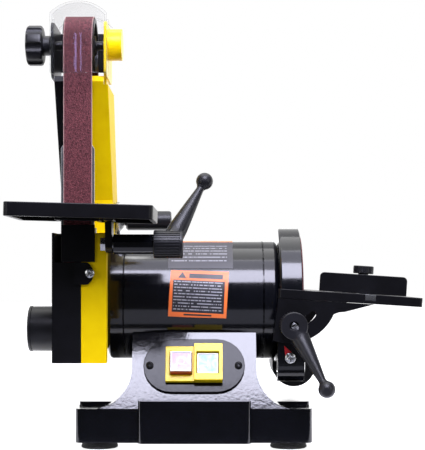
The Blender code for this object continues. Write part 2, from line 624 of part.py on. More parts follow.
def disc_guard():
    shaft = (0.0, SHAFT_Z)
    cup = [(GUARD_LEFT, 20), (GUARD_LEFT, GUARD_R - 1.6), (GUARD_LEFT + 1.6, GUARD_R), (GUARD_RIGHT, GUARD_R),
           (GUARD_RIGHT, GUARD_R - 2.6), (GUARD_LEFT + 2.6, GUARD_R - 2.6), (GUARD_LEFT + 2.6, 20)]
    mouth = block((67, 2, 57), (80, 26, 76))
    add("disc_guard", cut(lathe(cup, shaft, 48), mouth), BLACK_PAINT)
    port_axis = (79.0, 72.5)
    port = rod("Y", port_axis, 20.9, -8, 60, 28)
    port = cut(port, rod("Y", port_axis, 18.6, -5.4, 62, 28), rod("X", shaft, GUARD_R + GAP, GUARD_LEFT - GAP, 90, 48),
               rod("X", shaft, MOTOR_R + 2.0, 40, 70, 48), block((50, -20, 84), (100, 70, 110)))
    add("disc_dust_port", port, BLACK_PLASTIC)


def bracket(side):
    """Plate that carries one end of the disc table; side is -1 in front, 1 behind."""
    if side < 0:
        outline = [(-78.7, 136.0)] + arc((-63.7, 76.7), 15.0, 180, 270, 6) + [(-16, 61.7), (-16, 64.7)]
        outline += arc((-63.7, 76.7), 12.0, 270, 180, 6) + [(-75.7, 136.0)]
    else:
        outline = [(75.7, 98.0), (78.7, 98.0), (78.7, 136.0), (75.7, 136.0)]
    plate = prism(outline, "YZ", 59.7, 84.2)
    for x, z in ((67.5, 129), (80.0, 104)):
        low, high = sorted((side * 76.2, side * 60.0))
        plate = fuse(plate, rod("Y", (x, z), 4.2, low, high, 20))
    relief = prism([(59, 146.8), (100, 105.8), (100, 150)], "XZ", -90, 90)
    plate = cut(plate, rod("X", (0, SHAFT_Z), GUARD_R + GAP, 50, 90, 48), relief)
    if side < 0:
        plate = cut(plate, rod("Y", (CLAMP_X, CLAMP_Z), 4.2, -80, -74, 20))
    return plate


def trunnion(side):
    """Quadrant that hangs from the table and turns about the pivot line, with its clamp slot."""
    pivot = (TABLE_PIVOT_X, TABLE_PIVOT_Z)
    under = DISC_TABLE_TOP - DISC_TABLE_THICK - GAP
    outline = [(147.6, under), (DISC_TABLE_LEFT + 0.4, under), (DISC_TABLE_LEFT - 0.2, 126)]
    outline += arc(pivot, 44.3, -106, -20, 16) + [(116.2, 128.8), (122.0, 129.7)]
    slot_r, half = 28.1, 3.3
    slot = arc(pivot, slot_r + half, -90, -37, 12) + arc(pivot, slot_r - half, -37, -90, 12)
    ends = [rod("Y", arc(pivot, slot_r, turn, turn, 1)[0], half, -90, 90, 16) for turn in (-90, -37)]
    low, high = sorted((side * 82.7, side * 79.0))
    return cut(prism(outline, "XZ", low, high), fuse(prism(slot, "XZ", -90, 90), *ends))


def disc_table():
    pivot = (TABLE_PIVOT_X, 0.0, TABLE_PIVOT_Z)
    swing = tilting("disc_table_swing", pivot, DISC_TABLE_DROOP, "Y")
    top, under = DISC_TABLE_TOP, DISC_TABLE_TOP - DISC_TABLE_THICK
    outline = rounded_box(DISC_TABLE_LEFT, -DISC_TABLE_HALF, DISC_TABLE_RIGHT, DISC_TABLE_HALF, 3)
    plate = prism(outline, "XY", under, top)
    edge = DISC_FACE + 2.2
    notch = prism([(40, top + 5), (edge - 5, top + 5), (edge + DISC_TABLE_THICK + 5, under - 5), (40, under - 5)],
                  "XZ", -71.8, 71.8)
    hollow = block((99, -74, under - 2), (136.4, 74, top - 4.5))
    hollow_far = block((151.8, -78, under - 2), (187, 78, top - 4.5))
    groove = block((MITER_X - 5.0, -90, top - 5.2), (MITER_X + 5.0, 90, top + 4))
    add("disc_table", cut(plate, notch, hollow, hollow_far, groove), SATIN_BLACK, pivot, swing)
    tie = block((104, -81, under - 6.5), (110, 81, under - GAP))
    add("disc_table_trunnions", fuse(trunnion(-1), trunnion(1), tie), SATIN_BLACK, pivot, swing)
    miter_gauge(swing, top)
    rear_pin = fuse(rod("Y", (CLAMP_X, CLAMP_Z), 2.9, 76, 85, 20), rod("Y", (CLAMP_X, CLAMP_Z), 6.0, 83.1, 87, 6))
    add("disc_table_bracket_front", bracket(-1), BLACK_PAINT)
    add("disc_table_bracket_rear", fuse(bracket(1), rear_pin), BLACK_PAINT)
    front = -78.7 - GAP
    needle = prism([(65.6, 95.3), (66.6, 83.0), (73.5, 83.0), (72.6, 89.0)], "XZ", front - 0.8, front)
    add("angle_pointer", needle, ((0.45, 0.008, 0.014), 0.4))
    stud = fuse(rod("Y", (CLAMP_X, CLAMP_Z), 2.9, -83.2, -72, 20), rod("Y", (CLAMP_X, CLAMP_Z), 6.0, -75.3, -71.5, 6))
    add("table_clamp_stud", stud, ZINC)
    lean = math.atan2(26.6, 53.5)
    to_front = Matrix.Rotation(math.radians(-90), 3, "Z")
    down = Matrix.Rotation(math.pi - lean, 3, "Y")
    add_clamp_lever("disc_table_lever", (CLAMP_X, -108.9, CLAMP_Z), down @ to_front)


def miter_gauge(parent, top):
    pivot = (MITER_X, MITER_PIVOT_Y, top)
    bar = block((MITER_X - 4.7, -82.8, top - 4.9), (MITER_X + 4.7, 62, top - 0.1))
    pin = rod("Z", (MITER_X, MITER_PIVOT_Y), 2.6, top - 1, top + 3.2, 16)
    stud = rod("Z", (MITER_X, MITER_PIVOT_Y + 21), 2.2, top - 1, top + 19, 16)
    add("miter_bar", fuse(bar, pin, stud), STEEL, pivot, parent)
    foot = arc((MITER_X, MITER_PIVOT_Y), 30, -10, 190, 20)
    base_plate = prism(foot, "XY", top + 0.3, top + 3.5)
    face = prism(rounded_box(100.6, top - 8, 183.0, top + 18.3, 4), "XZ", -42, -38.2)
    face = cut(face, block((95, -45, top - 10), (190, -35, top + 0.3)))
    slot = arc((MITER_X, MITER_PIVOT_Y), 24, 25, 155, 12) + arc((MITER_X, MITER_PIVOT_Y), 18, 155, 25, 12)
    head = cut(fuse(base_plate, face), prism(slot, "XY", top - 3, top + 8),
               rod("Z", (MITER_X, MITER_PIVOT_Y), 2.9, top - 3, top + 8, 16))
    add("miter_head", head, SATIN_BLACK, pivot, parent)
    centre = (MITER_X, MITER_PIVOT_Y + 21)
    knob = fuse(rod("Z", centre, 9.8, top + 19.2, top + 26.7, 32), rod("Z", centre, 5.0, top + 3.8, top + 19.5, 20))
    knob = cut(knob, rod("Z", centre, 2.5, top + 3, top + 19.3, 16))
    add("miter_knob", knob, BLACK_PLASTIC, (*centre, top + 20), parent)


# ---------------------------------------------------------------- whole machine

def main():
    for leftover in list(bpy.data.objects):
        bpy.data.objects.remove(leftover)
    base()
    switch()
    motor()
    rotor()
    belt_frame()
    side_cover()
    belt_run()
    carriage()
    hood()
    tension_lever()
    belt_table()
    disc_guard()
    disc_table()


main()
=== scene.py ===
"""Looks of a bench-top belt and disc sander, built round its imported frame.

Lengths are millimetres until a shape is made; MM turns them into metres. Each piece stands for one
CAD node, or is a small trim piece that rides on the same body.
"""

import json
import math

import bpy
from mathutils import Matrix, Vector

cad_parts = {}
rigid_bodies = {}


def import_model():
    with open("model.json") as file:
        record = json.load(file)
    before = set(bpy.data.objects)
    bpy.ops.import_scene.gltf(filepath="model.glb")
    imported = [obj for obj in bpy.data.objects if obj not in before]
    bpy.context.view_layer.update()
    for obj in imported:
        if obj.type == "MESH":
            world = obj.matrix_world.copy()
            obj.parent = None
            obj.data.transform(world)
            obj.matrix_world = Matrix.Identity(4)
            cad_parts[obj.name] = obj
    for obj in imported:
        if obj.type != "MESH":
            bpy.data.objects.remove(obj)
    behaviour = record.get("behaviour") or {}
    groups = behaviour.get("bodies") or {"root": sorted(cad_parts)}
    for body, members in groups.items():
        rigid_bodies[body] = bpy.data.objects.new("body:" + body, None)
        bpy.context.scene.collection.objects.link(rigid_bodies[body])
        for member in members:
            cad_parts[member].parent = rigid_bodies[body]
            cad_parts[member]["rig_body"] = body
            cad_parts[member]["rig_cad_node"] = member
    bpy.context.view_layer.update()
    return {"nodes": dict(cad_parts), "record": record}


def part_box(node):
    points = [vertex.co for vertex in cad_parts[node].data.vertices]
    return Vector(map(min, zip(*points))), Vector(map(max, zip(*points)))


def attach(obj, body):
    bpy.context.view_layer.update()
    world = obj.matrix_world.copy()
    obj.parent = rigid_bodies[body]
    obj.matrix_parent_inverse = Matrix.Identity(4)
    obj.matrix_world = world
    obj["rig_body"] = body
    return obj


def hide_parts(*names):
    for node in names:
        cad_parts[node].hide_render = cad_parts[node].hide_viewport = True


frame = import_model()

MM = 0.001
BODY_OF = {node: body for body, nodes in frame["record"]["behaviour"]["bodies"].items() for node in nodes}

X_AXIS = Matrix.Rotation(math.radians(90), 4, "Y")       # turns +Z to +X
FRONT = Matrix.Rotation(math.radians(90), 4, "X")        # turns +Z to -Y

SHAFT_Y, SHAFT_Z = 49.0, 135.6
MOTOR_R = 57.3
PANEL_SLOPE = 0.4317
PANEL_CENTRE = (-25.75, -14.32, 75.0)
STOP_X, STOP_TOP = -12.0, 15.0          # across the sloping front, and how far a cap stands out
START_X, START_TOP = 12.6, 9.5
SWITCH_SCREW_X = 41.0
DISC_DROOP = 3.7                        # degrees below level
WHEEL_GAP = 0.3                         # between the belt and its wheels
BELT_THICK, BELT_HALF_WIDTH = 1.0, 12.7
CARRIAGE_PARTING_X = -107.5             # the upper carriage is black to the left of this
BELT_LEVER_FOOT = (-34.55, -81.0, 186.8)
DISC_LEVER_FOOT = (64.15, -59.9, 114.4)
LABEL_LIFT, LABEL_THICK = 0.20, 0.12
CAMERA_PLACE = (-0.00875, -1.151, 0.160)    # metres


# ---------------------------------------------------------------- materials

def srgb(hex_colour, alpha=1.0):
    """Linear RGBA of an sRGB hex colour."""
    parts = [int(hex_colour[i:i + 2], 16) / 255 for i in (1, 3, 5)]
    return (*[c / 12.92 if c <= 0.04045 else ((c + 0.055) / 1.055) ** 2.4 for c in parts], alpha)


def put(tree, kind, inputs=None, **settings):
    """Adds one shader node with its settings; an input is a value or a socket to link from."""
    made = tree.nodes.new("ShaderNode" + kind)
    for name, value in settings.items():
        setattr(made, name, value)
    for socket, value in (inputs or {}).items():
        if isinstance(value, bpy.types.NodeSocket):
            tree.links.new(value, made.inputs[socket])
        else:
            made.inputs[socket].default_value = value
    return made


def per_metre(millimetres):
    """Texture scale whose pattern repeats about every so many millimetres."""
    return 1.0 / (millimetres * MM)


def blank(name):
    """New material with its Principled shader and the piece's Object coordinates."""
    material = bpy.data.materials.new(name)
    material.use_nodes = True
    tree = material.node_tree
    place = put(tree, "TexCoord").outputs["Object"]
    return material, tree, tree.nodes["Principled BSDF"], place


def finish(name, light, dark, roughness, grain_mm, depth_mm, patch_mm=14.0, spread=0.06,
           metallic=0.0, coat=0.0, coat_roughness=0.05, stretch=(1, 1, 1), specular=0.5, ior=1.5):
    """Solid finish: two close colours in soft patches, and a fine grain in gloss and relief."""
    material, tree, shader, place = blank(name)
    shader.inputs["Metallic"].default_value = metallic
    shader.inputs["Coat Weight"].default_value = coat
    shader.inputs["Coat Roughness"].default_value = coat_roughness
    shader.inputs["Specular IOR Level"].default_value = specular
    if not metallic:
        shader.inputs["IOR"].default_value = ior
    drawn = put(tree, "Mapping", {"Vector": place, "Scale": stretch}).outputs["Vector"]
    patches = put(tree, "TexNoise", {"Vector": place, "Scale": per_metre(patch_mm), "Detail": 3.0})
    tint = put(tree, "ValToRGB", {"Fac": patches.outputs["Fac"]})
    tint.color_ramp.elements[0].position, tint.color_ramp.elements[1].position = 0.35, 0.65
    tint.color_ramp.elements[0].color, tint.color_ramp.elements[1].color = srgb(dark), srgb(light)
    grain = put(tree, "TexNoise", {"Vector": drawn, "Scale": per_metre(grain_mm), "Detail": 2.0})
    gloss = put(tree, "MapRange", {"Value": grain.outputs["Fac"], "From Min": 0.3, "From Max": 0.7,
                                   "To Min": max(roughness - spread, 0.02), "To Max": roughness + spread})
    relief = put(tree, "Bump", {"Height": grain.outputs["Fac"], "Distance": depth_mm * MM,
                                "Strength": 1.0})
    tree.links.new(tint.outputs["Color"], shader.inputs["Base Color"])
    tree.links.new(gloss.outputs["Result"], shader.inputs["Roughness"])
    tree.links.new(relief.outputs["Normal"], shader.inputs["Normal"])
    if coat:
        tree.links.new(relief.outputs["Normal"], shader.inputs["Coat Normal"])
    return material


def abrasive(name, light, dark, edge=None):
    """Aluminium oxide grit on cloth: single grains catch the light in a dull maroon bond.

    An edge is the strip's centre and half width across X, and the colour of its frayed threads.
    """
    material, tree, shader, place = blank(name)
    grains = put(tree, "TexVoronoi", {"Vector": place, "Scale": per_metre(0.9), "Randomness": 1.0})
    cluster = put(tree, "TexNoise", {"Vector": place, "Scale": per_metre(2.2), "Detail": 4.0,
                                     "Roughness": 0.7})
    speck = put(tree, "Math", {0: grains.outputs["Color"], 1: cluster.outputs["Fac"]}, operation="ADD")
    spread = put(tree, "MapRange", {"Value": speck.outputs["Value"], "From Min": 0.45, "From Max": 1.45})
    tint = put(tree, "ValToRGB", {"Fac": spread.outputs["Result"]})
    tint.color_ramp.elements[0].color, tint.color_ramp.elements[1].color = srgb(dark), srgb(light)
    colour = tint.outputs["Color"]
    if edge is not None:
        centre, half, thread = edge
        across = put(tree, "SeparateXYZ", {"Vector": place}).outputs["X"]
        off = put(tree, "Math", {0: across, 1: centre * MM}, operation="SUBTRACT").outputs["Value"]
        off = put(tree, "Math", {0: off}, operation="ABSOLUTE").outputs["Value"]
        rim = put(tree, "MapRange", {"Value": off, "From Min": (half - 0.9) * MM,
                                     "From Max": (half - 0.3) * MM})
        colour = put(tree, "Mix", {"Factor": rim.outputs["Result"], "A": colour, "B": srgb(thread)},
                     data_type="RGBA")
        colour = colour.outputs["Result"]
    relief = put(tree, "Bump", {"Height": grains.outputs["Distance"], "Distance": 0.35 * MM,
                                "Strength": 0.8})
    tree.links.new(colour, shader.inputs["Base Color"])
    tree.links.new(relief.outputs["Normal"], shader.inputs["Normal"])
    shader.inputs["Roughness"].default_value = 0.6
    shader.inputs["Specular IOR Level"].default_value = 0.22
    return material


# Stoved enamel on cast iron: deep and wet, with an orange peel a few millimetres across.
enamel_black = finish("enamel_black_stoved", "#0b0c12", "#08090e", 0.14, 2.4, 0.012, spread=0.03,
                      coat=0.2, coat_roughness=0.06, specular=0.42)
# The same enamel over a rougher casting, so its highlights break up.
enamel_cast = finish("enamel_black_on_casting", "#0a0b11", "#07080d", 0.13, 2.8, 0.05, spread=0.03,
                     coat=0.35, coat_roughness=0.05, specular=0.5)
# A thinner coat on the smooth steel switch plate reads darker than the casting round it.
enamel_plate = finish("enamel_black_on_plate", "#08090d", "#06070a", 0.12, 3.4, 0.03, spread=0.03,
                      specular=0.2)
# Powder coat on aluminium tables: satin, with a fine even pebble.
powder_satin = finish("powder_coat_satin_black", "#0e0e12", "#0a0a0d", 0.36, 0.7, 0.006, spread=0.03,
                      specular=0.22)
# Glass-filled nylon, moulded: soft sheen and a very fine texture.
nylon_black = finish("nylon_moulded_black", "#19191e", "#151518", 0.38, 0.5, 0.0012, spread=0.02,
                     specular=0.35)
# Enamelled steel in signal yellow, smooth, with a soft gloss.
enamel_yellow = finish("enamel_yellow", "#f6d506", "#f1cf05", 0.32, 1.8, 0.004, spread=0.04,
                       specular=0.25)
# The flat sheet sides of the belt frame carry a thinner, duller coat of the same yellow.
enamel_yellow_sheet = finish("enamel_yellow_on_sheet", "#f6d304", "#f1cc03", 0.5, 1.8, 0.003, spread=0.03,
                             specular=0.07)
# Moulded ABS of the switch: clean, slightly translucent yellow.
abs_yellow = finish("abs_yellow_moulded", "#f6d80c", "#f0d108", 0.32, 0.8, 0.003, spread=0.04)
# Bright zinc plate on screws and pins: cool, slightly cloudy metal.
zinc_plate = finish("zinc_plated_steel", "#c9cacb", "#a9abae", 0.27, 1.2, 0.01, patch_mm=3.0, metallic=1.0)
# Black oxide on steel: dark, with a faint metal sheen left.
black_oxide = finish("black_oxide_steel", "#222226", "#161619", 0.33, 1.0, 0.01, patch_mm=3.0, metallic=0.6)
# Ground steel: fine marks run along the bar.
ground_steel = finish("ground_steel", "#b6b7ba", "#9b9da1", 0.30, 1.6, 0.01, metallic=1.0, stretch=(6, 0.2, 6))
# Turned aluminium wheels and disc: faint rings from the lathe read as a soft streaky gloss.
turned_aluminium = finish("aluminium_turned", "#c4c6c9", "#abadb1", 0.33, 0.8, 0.01, metallic=1.0,
                          stretch=(3, 1, 1))
# Neoprene feet and gland: dull, faintly dusty.
rubber_moulded = finish("rubber_moulded_black", "#161616", "#0f0f0f", 0.72, 0.9, 0.03)
# Enamelled copper wire in the windings: long thin strands.
copper_enamelled = finish("copper_wire_enamelled", "#a3562b", "#7d3d1c", 0.35, 0.6, 0.1, metallic=1.0,
                          stretch=(8, 1, 1))
# Signal red paint on the pointer.
paint_red = finish("paint_red", "#c1121f", "#a90f1a", 0.35, 1.0, 0.01)


def clear_sheet(name, tint):
    """Clear polycarbonate sheet: it hardly bends what is behind it, and shows by its polish."""
    material, tree, shader, place = blank(name)
    shader.inputs["Base Color"].default_value = srgb(tint)
    shader.inputs["Transmission Weight"].default_value = 1.0
    shader.inputs["IOR"].default_value = 1.04
    shader.inputs["Roughness"].default_value = 0.0
    shader.inputs["Coat Weight"].default_value = 1.0
    shader.inputs["Coat Roughness"].default_value = 0.02
    waves = put(tree, "TexNoise", {"Vector": place, "Scale": per_metre(18.0)})
    relief = put(tree, "Bump", {"Height": waves.outputs["Fac"], "Distance": 0.02 * MM, "Strength": 0.5})
    tree.links.new(relief.outputs["Normal"], shader.inputs["Coat Normal"])
    return material


def see_through(material, alpha):
    material.node_tree.nodes["Principled BSDF"].inputs["Alpha"].default_value = alpha
    return material


# The flat front is quite clear; a faint grey painted haze on the arch and the sides stands for the light lost
# in the bends.
polycarbonate = clear_sheet("polycarbonate_clear", "#fdfdff")
polycarbonate_painted_haze = see_through(
    finish("polycarbonate_painted_haze", "#9fa2ab", "#8f929b", 0.12, 6.0, 0.004, spread=0.02), 0.06)
# A cut or folded edge of clear sheet gathers light along itself; that light is painted on as a grey line.
polycarbonate_painted_edge_line = see_through(
    finish("polycarbonate_cut_edge_painted_line", "#62656d", "#565961", 0.2, 6.0, 0.004, spread=0.02), 0.6)


# ---------------------------------------------------------------- modelling tools

def deselect():
    bpy.ops.object.select_all(action="DESELECT")


def hold(piece):
    """Makes a piece the only one selected, and active."""
    deselect()
    piece.select_set(True)
    bpy.context.view_layer.objects.active = piece


def edit(piece, *steps):
    """Opens a piece with all of it selected, runs the steps and closes it."""
    hold(piece)
    bpy.ops.object.mode_set(mode="EDIT")
    bpy.ops.mesh.select_all(action="SELECT")
    for step in steps:
        step()
    bpy.ops.object.mode_set(mode="OBJECT")


def choose_faces(piece, wanted):
    """Opens a piece in edit mode with only the faces selected that pass a test of centre and normal."""
    hold(piece)
    bpy.ops.object.mode_set(mode="EDIT")
    bpy.ops.mesh.select_mode(type="FACE")
    bpy.ops.mesh.select_all(action="DESELECT")
    bpy.ops.object.mode_set(mode="OBJECT")
    for face in piece.data.polygons:
        face.select = wanted(face.center, face.normal)
    bpy.ops.object.mode_set(mode="EDIT")


def outward():
    bpy.ops.mesh.normals_make_consistent(inside=False)


def merge(distance_mm=0.002):
    bpy.ops.mesh.remove_doubles(threshold=distance_mm * MM)


def apply_modifier(piece, kind, **settings):
    hold(piece)
    modifier = piece.modifiers.new(kind.lower(), kind)
    for name, value in settings.items():
        setattr(modifier, name, value)
    bpy.ops.object.modifier_apply(modifier=modifier.name)
    return piece


def rounded(piece, width_mm, segments=2, angle=30):
    """Breaks the sharp edges of a piece and shades it."""
    apply_modifier(piece, "BEVEL", width=width_mm * MM, segments=segments, limit_method="ANGLE",
                   angle_limit=math.radians(angle), harden_normals=False)
    return smooth(piece)


def smooth(piece, angle=32):
    hold(piece)
    bpy.ops.object.shade_smooth_by_angle(angle=math.radians(angle))
    return apply_modifier(piece, "WEIGHTED_NORMAL", keep_sharp=True, weight=50)


def settle(piece, turn=None, place=None):
    """Turns and moves a piece drawn about the origin, in millimetres, and leaves the move in its mesh."""
    hold(piece)
    move = Matrix.Translation(Vector(place or (0, 0, 0)) * MM)
    piece.matrix_world = move @ (turn or Matrix.Identity(4)) @ piece.matrix_world
    bpy.ops.object.transform_apply(location=True, rotation=True, scale=True)
    return piece


def painted(piece, material):
    piece.data.materials.clear()
    piece.data.materials.append(material)
    return piece


def stands_for(piece, *nodes):
    """A finished piece takes the place of CAD nodes and moves with their body."""
    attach(piece, BODY_OF[nodes[0]])
    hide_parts(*nodes)
    return piece


def trim(piece, body):
    """A small piece that no CAD node stands for."""
    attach(piece, body)
    return piece


def cut_away(piece, *tools, operation="DIFFERENCE"):
    for tool in tools:
        apply_modifier(piece, "BOOLEAN", operation=operation, object=tool, solver="EXACT")
        bpy.data.objects.remove(tool)
    return piece


def block(name, size, centre=(0, 0, 0)):
    """Box of a size, about a centre, both in millimetres."""
    deselect()
    bpy.ops.mesh.primitive_cube_add(size=1.0)
    piece = bpy.context.object
    piece.name = name
    piece.scale = Vector(size) * MM
    piece.location = Vector(centre) * MM
    hold(piece)
    bpy.ops.object.transform_apply(location=True, rotation=True, scale=True)
    return piece


def turned(name, profile, steps=96, closed=False):
    """Turned shape about +Z from (radius, height) points.

    An open profile is capped at both ends; a closed one runs round the section of a ring.
    """
    deselect()
    bpy.ops.mesh.primitive_circle_add(vertices=steps, radius=profile[0][0] * MM,
                                      fill_type="NOTHING" if closed else "NGON",
                                      location=(0, 0, profile[0][1] * MM))
    piece = bpy.context.object
    piece.name = name
    hold(piece)
    bpy.ops.object.transform_apply(location=True)
    bpy.ops.object.mode_set(mode="EDIT")
    bpy.ops.mesh.select_all(action="SELECT")
    points = list(profile) + ([profile[0]] if closed else [])
    for (r, z), (r2, z2) in zip(points, points[1:]):
        lift = {"value": (0, 0, (z2 - z) * MM)}
        if closed:
            bpy.ops.mesh.extrude_edges_move(TRANSFORM_OT_translate=lift)
        else:
            bpy.ops.mesh.extrude_region_move(TRANSFORM_OT_translate=lift)
        if r2 != r:
            bpy.ops.transform.resize(value=(r2 / r, r2 / r, 1), center_override=(0, 0, z2 * MM))
    bpy.ops.mesh.select_all(action="SELECT")
    merge(0.001)
    outward()
    bpy.ops.object.mode_set(mode="OBJECT")
    return smooth(piece)


def rod(name, radius, low, high, steps=64):
    return turned(name, [(radius, low), (radius, high)], steps)


def curve_points(centre, radius, start, end, steps):
    """Points on an arc in a profile, angles in degrees."""
    turns = [math.radians(start + (end - start) * i / steps) for i in range(steps + 1)]
    return [(centre[0] + radius * math.cos(t), centre[1] + radius * math.sin(t)) for t in turns]


def refined(node, material, width_mm, segments=2):
    """Copy of a CAD node whose triangles become flat faces and whose edges are broken."""
    hold(frame["nodes"][node])
    bpy.ops.object.duplicate()
    piece = bpy.context.object
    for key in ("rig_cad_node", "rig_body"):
        if key in piece:
            del piece[key]
    piece.name = node + "_finished"
    bpy.ops.mesh.customdata_custom_splitnormals_clear()
    flat_within, edge_beyond = math.radians(0.6), math.radians(28)
    edit(piece, merge, lambda: bpy.ops.mesh.dissolve_limited(angle_limit=flat_within))
    apply_modifier(piece, "BEVEL", width=width_mm * MM, segments=segments, limit_method="ANGLE",
                   angle_limit=edge_beyond)
    smooth(piece)
    painted(piece, material)
    return stands_for(piece, node)


# ---------------------------------------------------------------- small parts that repeat

def phillips(name, radius, turn, place, body, material, length=1.2, dome=1.4):
    """Pan-head screw with a cross recess; drawn with its head facing +Z, seat at zero."""
    crown = [(radius * math.cos(math.radians(a)), length + dome * math.sin(math.radians(a)))
             for a in (0, 20, 40, 60, 78)]
    head = turned(name, [(radius, 0)] + crown, 40)
    for angle in (12, 102):
        slot_cut = block("slot_cutter", (radius * 1.2, radius * 0.3, 3.0), (0, 0, length + dome + 0.1))
        settle(slot_cut, Matrix.Rotation(math.radians(angle), 4, "Z"))
        cut_away(head, slot_cut)
    smooth(head)
    settle(head, turn, place)
    painted(head, material)
    return trim(head, body)


def ribbed_drum(name, radius, low, high, ribs, rib_depth, edge=0.6):
    """Drum with axial ribs: every second side face is drawn in a little."""
    profile = [(radius - edge, low), (radius, low + edge), (radius, high - edge), (radius - edge, high)]
    drum = turned(name, profile, ribs * 2)

    def every_second(centre, normal):
        if abs(normal.z) > 0.2:
            return False
        step = math.degrees(math.atan2(centre.y, centre.x)) / (180 / ribs)
        return int(math.floor(step)) % 2 == 0

    choose_faces(drum, every_second)
    bpy.ops.mesh.inset(thickness=0.12 * MM, use_individual=True)
    bpy.ops.mesh.extrude_faces_move(TRANSFORM_OT_shrink_fatten={"value": -rib_depth * MM})
    bpy.ops.object.mode_set(mode="OBJECT")
    return smooth(drum, 25)


def clamp_lever(node, foot, turn, hub_length=25.4, hub_radius=12.2, reach=61.0, lean=18.7):
    """Moulded clamping lever: ribbed hub along -X, a tapered arm that leans out, and a ball."""
    hub = ribbed_drum("lever_hub", hub_radius, 0.0, hub_length, 30, 0.55)
    face = hub_length - 0.7
    cut_away(hub, rod("hub_recess", 4.4, hub_length - 3.4, hub_length + 2, 40))
    collar = turned("hub_collar", [(hub_radius - 0.5, face - 2.2), (hub_radius + 0.15, face - 1.6),
                                   (hub_radius + 0.15, face - 0.2), (hub_radius - 0.5, face + 0.6),
                                   (5.2, face + 0.6), (5.2, face - 2.2)], 64, closed=True)
    cut_away(hub, collar, operation="UNION")
    settle(hub, X_AXIS, (-hub_length, 0, 0))
    start, end = Vector((-10, 0, 4)), Vector((lean, 0, reach))
    along = end - start
    length = along.length
    taper = [(9.0, 0), (8.4, 0.2 * length), (7.4, 0.34 * length), (5.6, 0.58 * length), (3.5, 0.84 * length),
             (3.5, length - 8.0), (4.4, length - 6.6)]
    ball = curve_points((0, length), 7.6, -54, 84, 14)
    arm = turned("lever_arm", taper + ball, 40)
    settle(arm, along.to_track_quat("Z", "Y").to_matrix().to_4x4(), start)
    cut_away(hub, arm, operation="UNION")
    hub.name = node + "_finished"
    smooth(hub, 40)
    settle(hub, turn, foot)
    painted(hub, nylon_black)
    return stands_for(hub, node)


# ---------------------------------------------------------------- base and switch

def base():
    refined("base_casting", enamel_cast, 0.9, 3)
    refined("base_plate", ground_steel, 0.2)
    refined("cable_gland", rubber_moulded, 0.6)
    for side in ("left", "right"):
        for end in ("front", "rear"):
            node = f"rubber_foot_{end}_{side}"
            low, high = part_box(node)
            middle = (low + high) / 2 / MM
            top = high.z / MM
            foot = turned(node + "_finished", [(16.2, 0), (17.0, 0.7), (17.0, 2.0), (14.9, top), (6.0, top),
                                               (6.0, top - 2.5)], 64)
            cut_away(foot, turned("foot_well", [(9.0, -1), (7.6, 1.6)], 40))
            settle(foot, None, (middle.x, middle.y, 0))
            stands_for(painted(smooth(foot), rubber_moulded), node)


def panel_turn():
    """Turn that lays a shape drawn facing +Z, up +Y, on the sloping front."""
    slant = math.sqrt(1 + PANEL_SLOPE ** 2)
    up = Vector((0, PANEL_SLOPE, 1)) / slant
    out = Vector((0, -1, PANEL_SLOPE)) / slant
    return Matrix((Vector((1, 0, 0)), up, out)).transposed().to_4x4()


def on_panel(x, y, out=0.0):
    """World point of a place on the sloping front, all in millimetres."""
    return Vector(PANEL_CENTRE) + panel_turn().to_3x3() @ Vector((x, y, out))


def button_cap(name, rim, light, dark, streak):
    """Moulded button under a clear cap: washed-out colour, and a darker wall at its edges that is partly the
    cap's own tint and partly painted shade.
    """
    material, tree, shader, place = blank(name)
    cloud = put(tree, "TexNoise", {"Vector": place, "Scale": per_metre(9.0), "Detail": 3.0,
                                   "Distortion": 1.2})
    tint = put(tree, "ValToRGB", {"Fac": cloud.outputs["Fac"]})
    tint.color_ramp.elements[0].position, tint.color_ramp.elements[1].position = 0.38, 0.66
    tint.color_ramp.elements[0].color, tint.color_ramp.elements[1].color = srgb(dark), srgb(light)
    mid = tint.color_ramp.elements.new(0.52)
    mid.color = srgb(streak)
    # Faces turned away from the front of the panel take the wall colour: the cap's tint through its thickness,
    # darkened as painted shade.
    facing = put(tree, "NewGeometry").outputs["Normal"]
    out = panel_turn().to_3x3() @ Vector((0, 0, 1))
    dot = put(tree, "VectorMath", {0: facing, 1: out}, operation="DOT_PRODUCT").outputs["Value"]
    side = put(tree, "MapRange", {"Value": dot, "From Min": 0.5, "From Max": 0.9})
    mix = put(tree, "Mix", {"Factor": side.outputs["Result"], "A": srgb(rim), "B": tint.outputs["Color"]},
              data_type="RGBA")
    tree.links.new(mix.outputs["Result"], shader.inputs["Base Color"])
    shader.inputs["Roughness"].default_value = 0.3
    shader.inputs["Coat Weight"].default_value = 0.3
    shader.inputs["Coat Roughness"].default_value = 0.04
    return material


